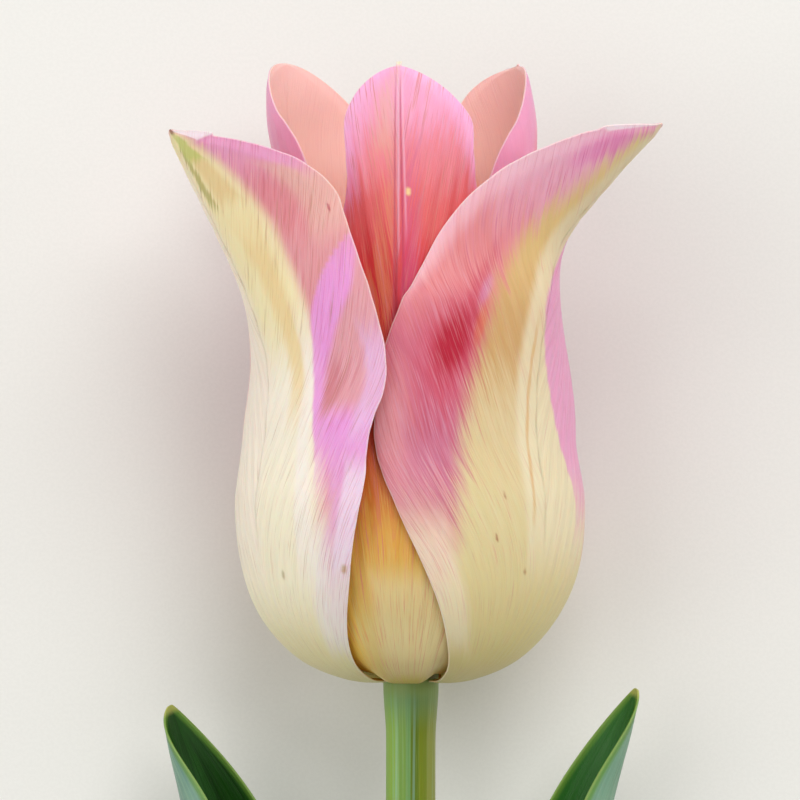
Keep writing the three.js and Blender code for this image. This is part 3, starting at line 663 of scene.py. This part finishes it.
def line_of(s, c, full, length, span, start, end, width, fade):
    """How near a point lies to a line, from 0 to 1: the line runs between two shares of the length, and
    from one distance from the midrib to another, both in millimetres, as wide as given."""
    t = (s - span[0]) / (span[1] - span[0])
    across = 1 - np.abs(c * full - start - (end - start) * np.clip(t, 0, 1)) / width
    along = 0.5 + np.minimum(s - span[0], span[1] - s) * length / fade
    return np.clip(np.minimum(across, along), 0, 1)


def spot(s, c, full, length, place, radii):
    """Strength of a round stain, 1 in its middle, that falls off as a bell over its radii in
    millimetres."""
    return np.exp(-((s - place[0]) * length / radii[0])**2 - ((c - place[1]) * full / radii[1])**2)


# Colour of each tepal. The band, the flanks and the inside each run from foot to tip through colours at
# shares of the length. The borders give where the left and the right flank start, as shares of the half
# width at even steps up the tepal. The stains and painted highlights are laid over that: colour, cover,
# feathering along the veins, and a kind with its place, as the function of that name takes it.
# Each outer band is darker khaki at its foot: partly its own colour and partly painted shade where the
# belly turns under towards the stem.
OUTER_BAND = [(0.0, "#D4C878"), (0.12, "#E9DDA8"), (0.3, "#F3E9CC"), (0.6, "#F4E9D8"), (0.85, "#F3E2AE"),
              (1.0, "#E4D690")]
OUTER_FLANKS = [(0.15, "#EADFC8"), (0.3, "#E3B4B8"), (0.45, "#DE97A6"), (0.62, "#D98A92"), (0.8, "#E39BA0"),
                (1.0, "#E59AC0")]
OUTER_INSIDE = [(0.1, "#E2C050"), (0.3, "#EFD9A0"), (0.5, "#F2CDB8"), (0.8, "#EFB0AE"), (1.0, "#EBA0B4")]
# The inside of the inner tepals is painted a paler salmon towards the tip than the tissue: painted light
# that stands in for light shining through the tepal and lifts its shade.
INNER_INSIDE = [(0.15, "#E8C04A"), (0.35, "#F0C27C"), (0.55, "#F4A070"), (0.76, "#F6A082"),
                (0.83, "#FAC4B8"), (1.0, "#FBC6C0")]
INNER_BAND = [(0.0, "#B9A24A"), (0.2, "#CDA858"), (0.4, "#D58A4C"), (0.55, "#D85848"), (0.75, "#E27A7C"),
              (1.0, "#EE9CC4")]
PAINT = {
    "outer_tepal_left": dict(
        band=OUTER_BAND, flanks=OUTER_FLANKS, inside=OUTER_INSIDE,
        left=[-1.6, -1.4, -1.1, -0.85, -0.7, -0.6, -0.55, -0.5, -0.5, -0.55, -0.6],
        right=[1.6, 1.2, 0.84, 0.73, 0.68, 0.58, 0.47, 0.43, 0.38, 0.4, 0.48],
        stains=[
            ("#F3E5B4", 0.85, 1.0, zone, (0.62, 1.02), -0.1, 0.45, 3, 16),
            ("#EBCE94", 0.75, 1.0, zone, (0.54, 0.82),
             [0.26, 0.22, 0.18, 0.16], [0.4, 0.36, 0.34, 0.34], 2.5, 14),
            ("#F5EAE2", 0.7, 0.5, zone, (0.3, 0.66),
             [0.5, 0.42, 0.36, 0.34], [0.7, 0.56, 0.46, 0.44], 1.4, 14),
            ("#F5E6D6", 0.7, 0.5, zone, (0.3, 0.93), -0.5, 0.02, 3, 14),
            ("#EFEAE8", 0.6, 1.0, zone, (0.16, 0.36), [0.7, 0.66, 0.66], 1.6, 3, 8),
            ("#E0A4D2", 0.75, 1.8, zone, (0.34, 0.56), [0.8, 0.76, 0.64, 0.56], 1.6, 3, 10),
            ("#E898DA", 0.9, 0.8, zone, (0.46, 0.775),
             [0.58, 0.54, 0.49, 0.45, 0.43, 0.44, 0.47, 0.56, 0.74, 1.08], 1.6, 0.9, 14),
            ("#DC9A9C", 0.9, 0.8, zone, (0.54, 0.745), [0.56, 0.53, 0.57, 0.68, 0.86, 1.0], 1.6, 2.2, 5),
            ("#C46874", 0.6, 1.6, spot, (0.58, 0.6), (4, 1.8)),
            ("#E2B2DA", 0.8, 1.2, zone, (0.5, 0.65), 0.84, 1.6, 2.4, 6),
            ("#EAD6E6", 0.75, 0.8, zone, (0.3, 0.46), 0.84, 1.6, 1.5, 6),
            ("#E6B4A8", 0.8, 0.5, zone, (0.775, 0.9), [0.72, 0.7, 0.74], 1.6, 3, 6),
            ("#DE8088", 0.6, 0.8, spot, (0.84, 0.6), (6, 3)),
            ("#E69CC4", 0.85, 0.6, zone, (0.87, 0.985), [0.92, 0.82, 0.72, 0.66], 1.6, 1.8, 5),
            ("#E2C084", 0.6, 0.8, zone, (0.87, 0.96), 0.16, 0.36, 1.6, 4),
            ("#A8A04C", 0.7, 3.0, zone, (0.87, 0.965), 0.06, 0.13, 0.7, 3),
            ("#C4CA70", 0.8, 0.8, zone, (0.945, 0.992), 0.1, 0.36, 0.8, 2),
            ("#F6E8EC", 0.9, 0.2, zone, (0.974, 1.1), [0.6, 0.5, 0.4], 1.8, 0.4, 0.5),
            ("#8A4A3A", 0.8, 0.2, spot, (0.998, 0.2), (0.6, 0.5)),
            ("#B03050", 0.7, 0.0, spot, (0.806, 0.9), (0.7, 0.22)),
            ("#9A7A3C", 0.6, 0.0, spot, (0.293, 0.3), (0.7, 0.35)),
            ("#B09048", 0.7, 0.0, spot, (0.305, 0.95), (0.7, 0.5)),
        ]),
    "outer_tepal_right": dict(
        # Darker khaki at the foot: partly painted shade under the belly.
        band=[(0.0, "#C8BA68"), (0.12, "#DACA8A"), (0.35, "#D9C896"), (0.5, "#D6BF90"), (0.62, "#C89E66"),
              (0.82, "#E0C284"), (1.0, "#E4D690")],
        # Up the flanks, the paler lilac pink at 0.85 is partly a painted highlight.
        flanks=[(0.2, "#E6D0A8"), (0.34, "#D69A96"), (0.45, "#C6708A"), (0.6, "#C86078"), (0.72, "#DC8486"),
                (0.85, "#ECACC2"), (1.0, "#E896C8")],
        inside=OUTER_INSIDE,
        left=[-1.6, -1.5, -1.1, -0.78, -0.6, -0.5, -0.45, -0.42, -0.36, -0.32, -0.4],
        right=[1.6, 1.5, 1.1, 0.8, 0.5, 0.26, 0.1, 0.0, 0.15, 0.28, 0.4],
        stains=[
            ("#E6D8B6", 0.75, 0.7, zone, (0.3, 1.0), -0.16, 1.6, 2.0, 14),
            ("#D2A060", 0.65, 0.3, line_of, (0.36, 0.64), -2.2, -1.4, 0.5, 8),
            ("#EFE0C2", 0.6, 1.0, zone, (0.16, 0.36), -1.6, -0.74, 3, 8),
            ("#E394C0", 0.9, 1.2, zone, (0.38, 0.86),
             [0.42, 0.28, 0.16, 0.03, -0.02, 0.16, 0.4], 1.6, 1.0, 16),
            ("#C84A62", 0.75, 1.8, spot, (0.6, -0.64), (9, 4)),
            ("#C4405A", 0.6, 1.8, spot, (0.68, -0.55), (6, 1.3)),
            ("#B0002C", 1.0, 0.7, spot, (0.613, -0.62), (4.6, 2.8)),
            ("#D2653C", 0.55, 0.5, spot, (0.64, -0.47), (3, 0.8)),
            ("#C890BC", 0.4, 0.6, spot, (0.69, -0.5), (2.2, 0.8)),
            ("#E0969A", 0.7, 1.5, spot, (0.5, -0.95), (9, 3.5)),
            # Pale pinkish lilac along the upper left margin: partly its own colour and partly a painted
            # highlight.
            ("#F3C6D2", 0.7, 0.8, zone, (0.68, 1.0), -1.6, [-1.0, -0.88, -0.82, -0.78, -0.7], 4.5, 8),
            ("#E68ABA", 0.75, 0.8, spot, (0.93, -0.58), (5, 1.8)),
            ("#F6E6EC", 0.8, 0.2, zone, (0.95, 1.1), -1.8, [-0.85, -0.75, -0.6], 0.6, 0.8),
            ("#9A5A30", 0.7, 0.0, spot, (0.395, -0.32), (0.5, 0.22)),
            ("#9A4A30", 0.8, 0.0, spot, (0.335, -0.42), (0.55, 0.2)),
            ("#9A5A30", 0.6, 0.0, spot, (0.285, -0.18), (0.5, 0.3)),
        ]),
    "outer_tepal_back": dict(
        band=OUTER_BAND, flanks=OUTER_FLANKS, inside=OUTER_INSIDE,
        left=[-1.6, -1.4, -1.1, -0.8, -0.66, -0.56, -0.5, -0.45, -0.4, -0.45, -0.5],
        right=[1.6, 1.4, 1.1, 0.8, 0.66, 0.56, 0.5, 0.45, 0.4, 0.45, 0.5],
        stains=[
            ("#EBCB86", 0.6, 1.0, zone, (0.45, 1.02), -0.25, 0.25, 3.5, 20),
            ("#E6A4DA", 0.8, 0.8, zone, (0.45, 0.95), 0.78, 1.6, 2, 10),
            ("#E6A4DA", 0.8, 0.8, zone, (0.45, 0.95), -1.6, -0.78, 2, 10),
            ("#C8506A", 0.5, 1.2, spot, (0.6, 0.66), (9, 3.5)),
        ]),
    "inner_tepal_front": dict(
        # The deep red up the middle is partly its own colour and partly painted light, the deeper red of
        # light that has passed through the tepals behind it; the lilac pink towards the tip is partly a
        # painted reflection of the sky.
        band=[(0.0, "#D0B450"), (0.15, "#DAC27C"), (0.25, "#D6AE58"), (0.31, "#D8A044"), (0.39, "#CE6E2A"),
              (0.47, "#C83E22"), (0.6, "#CA1430"), (0.69, "#D43A3E"), (0.78, "#E06466"), (0.86, "#E98490"),
              (0.93, "#EEA0C2"), (1.0, "#F2ACD4")],
        # The bright gold at the foot of the flanks is painted lighter than the tissue: painted light that
        # lifts the shade in the gap under the outer tepals' margins.
        flanks=[(0.2, "#F6C434"), (0.34, "#DCA03A"), (0.45, "#CC5A26"), (0.6, "#C81E34"), (0.76, "#E06064"),
                (0.82, "#F09CC4"), (0.87, "#F7B0DE"), (1.0, "#F6B6DE")],
        inside=INNER_INSIDE,
        left=[-0.6, -0.55, -0.45, -0.45, -0.6, -1.1, -1.1, -0.9, -0.78, -0.74, -0.6],
        right=[1.6, 1.6, 1.6, 1.6, 1.2, 1.2, 1.2, 1.1, 1.0, 0.84, 0.6],
        stains=[
            ("#E2D2A0", 0.6, 1.0, zone, (0.08, 0.26), -0.2, 0.75, 3, 6),
            ("#DE9A60", 0.4, 6.0, zone, (0.6, 0.84), -0.3, -0.04, 3.0, 12),
            ("#E2B08C", 0.45, 3.0, zone, (0.87, 0.985), -0.4, -0.04, 3.0, 6),
            ("#CC4886", 0.45, 4.0, zone, (0.5, 0.86), 0.0, 0.2, 3.0, 12),
            ("#A01030", 0.6, 0.6, line_of, (0.42, 0.72), -0.1, -0.2, 0.3, 10),
            ("#B03058", 0.5, 0.6, line_of, (0.5, 0.97), -0.5, -0.35, 0.22, 10),
            ("#B83058", 0.6, 0.6, line_of, (0.5, 0.97), 1.2, 0.22, 0.25, 8),
            ("#F6CCE0", 0.45, 0.3, line_of, (0.74, 1.0), 0.1, 0.0, 0.3, 12),
            ("#F4C4DC", 0.4, 0.3, line_of, (0.76, 0.97), 1.1, 0.5, 0.26, 8),
            ("#F2DC98", 0.9, 0.0, spot, (0.812, 0.12), (0.55, 0.4)),
            ("#E6E4C0", 0.9, 0.0, spot, (1.0, 0.0), (0.6, 0.6)),
        ]),
    "inner_tepal_left": dict(
        band=INNER_BAND, flanks=INNER_BAND, inside=INNER_INSIDE, left=[-2, -2], right=[2, 2],
        stains=[("#E69CC2", 0.8, 0.8, zone, (0.6, 1.02), 0.5, 1.6, 3, 10),
                ("#E69CC2", 0.8, 0.8, zone, (0.6, 1.02), -1.6, -0.5, 3, 10)]),
    "inner_tepal_right": dict(
        band=INNER_BAND, flanks=INNER_BAND, inside=INNER_INSIDE, left=[-2, -2], right=[2, 2],
        stains=[("#E69CC2", 0.8, 0.8, zone, (0.6, 1.02), 0.5, 1.6, 3, 10),
                ("#E69CC2", 0.8, 0.8, zone, (0.6, 1.02), -1.6, -0.5, 3, 10)]),
}


def tepal_material(name, paint):
    # Petal tissue: thin, moist and slightly translucent, with a silky gloss. Watery tissue has an IOR of
    # about 1.38 and a roughness of about 0.4. Veins lie 0.2 mm apart, in streaks 0.8 mm wide; the cells
    # of the skin, 0.03 mm across, are drawn at 0.15 mm, so that their glitter shows.
    material, tree, (vein, length, share, margin, flank, inside) = new_material(
        name, "vein", "length", "share", "margin", "flank", "inside")
    place = add_node(tree, "CombineXYZ", {0: vein, 1: length})
    streak = grain(tree, place, (1.2, 0.05, 1))
    fine = grain(tree, place, (5.2, 0.16, 1), 2.0)
    cells = grain(tree, place, (7.0, 5.0, 1), 2.0)
    feather = add_node(tree, "Math", {0: fine, 1: 1.2, 2: streak}, operation="MULTIPLY_ADD")
    feather = add_node(tree, "Math", {0: feather, 1: 1.1}, operation="SUBTRACT")

    def feathered(mark, strength):
        """A mark whose borders run out along the veins."""
        return add_node(tree, "Math", {0: feather, 1: strength, 2: mark}, operation="MULTIPLY_ADD")

    def run(stops):
        """Colours that follow each other from foot to tip."""
        along = feathered(share, 0.12)
        steps = [(along, low, high, 1.0, wash) for (low, _), (high, wash) in zip(stops, stops[1:])]
        return washes(tree, stops[0][1], steps)

    band, flanks, inner_face = run(paint["band"]), run(paint["flanks"]), run(paint["inside"])
    colour = washes(tree, band, [(feathered(flank, 3.0), -2.0, 2.0, 1.0, flanks)])
    # Stains and painted highlights, each laid where its own mark says.
    stains = []
    for number, (wash, cover, feathering, *_) in enumerate(paint["stains"]):
        stain_and_highlight = add_node(tree, "Attribute", output="Fac", attribute_name=f"stain_{number}")
        stains.append((feathered(stain_and_highlight, feathering * 0.5), 0.1, 0.9, cover, wash))
    colour = washes(tree, colour, stains + [(inside, 0.45, 0.55, 1.0, inner_face)])
    veining = add_node(tree, "MapRange", {"Value": flank, "From Min": -1.0, "From Max": 1.5, "To Min": 0.16,
                                          "To Max": 0.55})
    deeper = add_node(tree, "Mix", {0: veining, 6: colour, 7: "#DC98A6"}, 2, data_type="RGBA",
                      blend_type="MULTIPLY")
    lighter = add_node(tree, "Mix", {0: veining, 6: colour, 7: "#766A6C"}, 2, data_type="RGBA",
                       blend_type="SCREEN")
    # The pale margin is partly the thin tissue's own colour and partly a painted highlight along the edge.
    colour = washes(tree, colour, [(fine, 0.5, 0.34, 0.9, lighter), (fine, 0.5, 0.68, 0.7, deeper),
                                   (margin, 0.14, 0.04, 0.35, "#F8E8DE")])
    relief = add_node(tree, "Math", {0: cells, 1: 0.35, 2: fine}, operation="MULTIPLY_ADD")
    gloss = add_node(tree, "MapRange", {"Value": cells, "From Min": 0.3, "From Max": 0.7, "To Min": 0.28,
                                        "To Max": 0.46})
    finish(tree, colour, relief, 0.00007, gloss, Subsurface_Weight=0.2, Subsurface_Scale=0.001, IOR=1.38)
    return material


s, c = blade_grid(TEPAL_ROWS, TEPAL_COLUMNS, TEPAL_GATHER)
for name, tepal in TEPALS.items():
    middle, full = tepal_surface(tepal, s, c)
    paint = PAINT[name]
    length = by_length(tepal["midrib"], s[:, 0])[2]
    margin = (1 - np.abs(c)) * full
    # Veins start as shares of the belly's width, run at even distances further up, and slant out to the
    # margins ever more, until they go straight on.
    high = np.maximum(s - VEIN_SLANT_FROM, 0) * length
    slant = VEIN_SLANT[name[:5]] * (high - VEIN_TURN * (1 - np.exp(-high / VEIN_TURN)))
    spread = BELLY_HALF_WIDTH + (full - BELLY_HALF_WIDTH) * ease(VEINS_THINNING, s)
    vein = c * spread - np.sign(c) * slant
    flank = np.maximum(through(paint["left"], s) - c, c - through(paint["right"], s)) * full
    marks = {"margin": margin, "vein": vein, "length": s * length, "share": s,
             "flank": np.clip(flank, -FLANK_REACH, FLANK_REACH)}
    for number, (_, _, _, kind, *place) in enumerate(paint["stains"]):
        marks[f"stain_{number}"] = kind(s, c, full, length, *place)
    thickness = TEPAL_RIM + (TEPAL_THICKNESS - TEPAL_RIM) * ease((0, TEPAL_TAPER), margin)
    relief = RIB_HEIGHT * np.cos(2 * np.pi * vein / RIB_SPACING) * ease(RIB_MARGIN, margin)
    relief = relief * ease(RIBS_RISING, s) * (1 - ease(RIBS_ENDING, s))
    for ridge in tepal.get("ridges", []):
        relief = relief + RIDGE_HEIGHT * line_of(s, c, full, length, *ridge)
    make_blade(name, bloom_to_world(middle), thickness,
               tepal_material(name.replace("_", " ") + " tissue", paint), marks, relief=relief)


# Stage
# A plain pale floor under soft studio light: a broad key from the upper right, a weak fill from the left
# and a low light on the right that glances off the veins. The camera looks down on the bloom, square to
# its axis. All is in metres, and each lamp has its place, its size and its power in watts.
CAMERA_PLACE = (-0.0015, 0.0384, 0.5691)
CAMERA_LENS = 180.7
SENSOR_WIDTH = 36
LAMPS = {"key": ((0.3, 0.7, 1.0), 0.8, 8.0), "fill": ((-0.7, 0.1, 0.8), 0.9, 4.4),
         "low": ((0.9, 0.25, 0.25), 0.2, 1.5)}
LAMP_AIM = Vector((0, 0.11, 0.02))
SKY_STRENGTH = 0.5
FLOOR_REACH = 2


def floor_material():
    # Matt paper: even, without gloss, with a tooth of about 0.5 mm.
    material, tree, _ = new_material("matt paper")
    tooth = grain(tree, add_node(tree, "TexCoord", output="Object"), (2 / MM,) * 3)
    finish(tree, washes(tree, "#E2E1DC", [(tooth, 0.4, 0.6, 1.0, "#E4E3DE")]), tooth, 0.00001, 0.9)
    return material


floor_mesh = bpy.data.meshes.new("floor")
corners = [(FLOOR_REACH * x, FLOOR_REACH * y, 0) for x, y in ((-1, -1), (1, -1), (1, 1), (-1, 1))]
floor_mesh.from_pydata(corners, [], [(0, 1, 2, 3)])
floor_mesh.materials.append(floor_material())
floor = bpy.data.objects.new("floor", floor_mesh)
scene = bpy.context.scene
scene.collection.objects.link(floor)
scene.world = bpy.data.worlds.new("studio")
scene.world.use_nodes = True
sky = scene.world.node_tree.nodes["Background"]
sky.inputs["Color"].default_value = linear("#F4F4F2")
sky.inputs["Strength"].default_value = SKY_STRENGTH
for name, (place, size, power) in LAMPS.items():
    lamp = bpy.data.lights.new(name, "AREA")
    lamp.size, lamp.energy = size, power
    light = bpy.data.objects.new(name, lamp)
    light.location = place
    light.rotation_euler = (LAMP_AIM - light.location).to_track_quat("-Z", "Y").to_euler()
    scene.collection.objects.link(light)
lens = bpy.data.cameras.new("camera")
lens.lens, lens.sensor_width = CAMERA_LENS, SENSOR_WIDTH
camera = bpy.data.objects.new("camera", lens)
camera.location = CAMERA_PLACE
camera.rotation_euler = (BLOOM_TILT, 0, 0)
scene.collection.objects.link(camera)
scene.camera = camera
scene.view_settings.view_transform = "Standard"
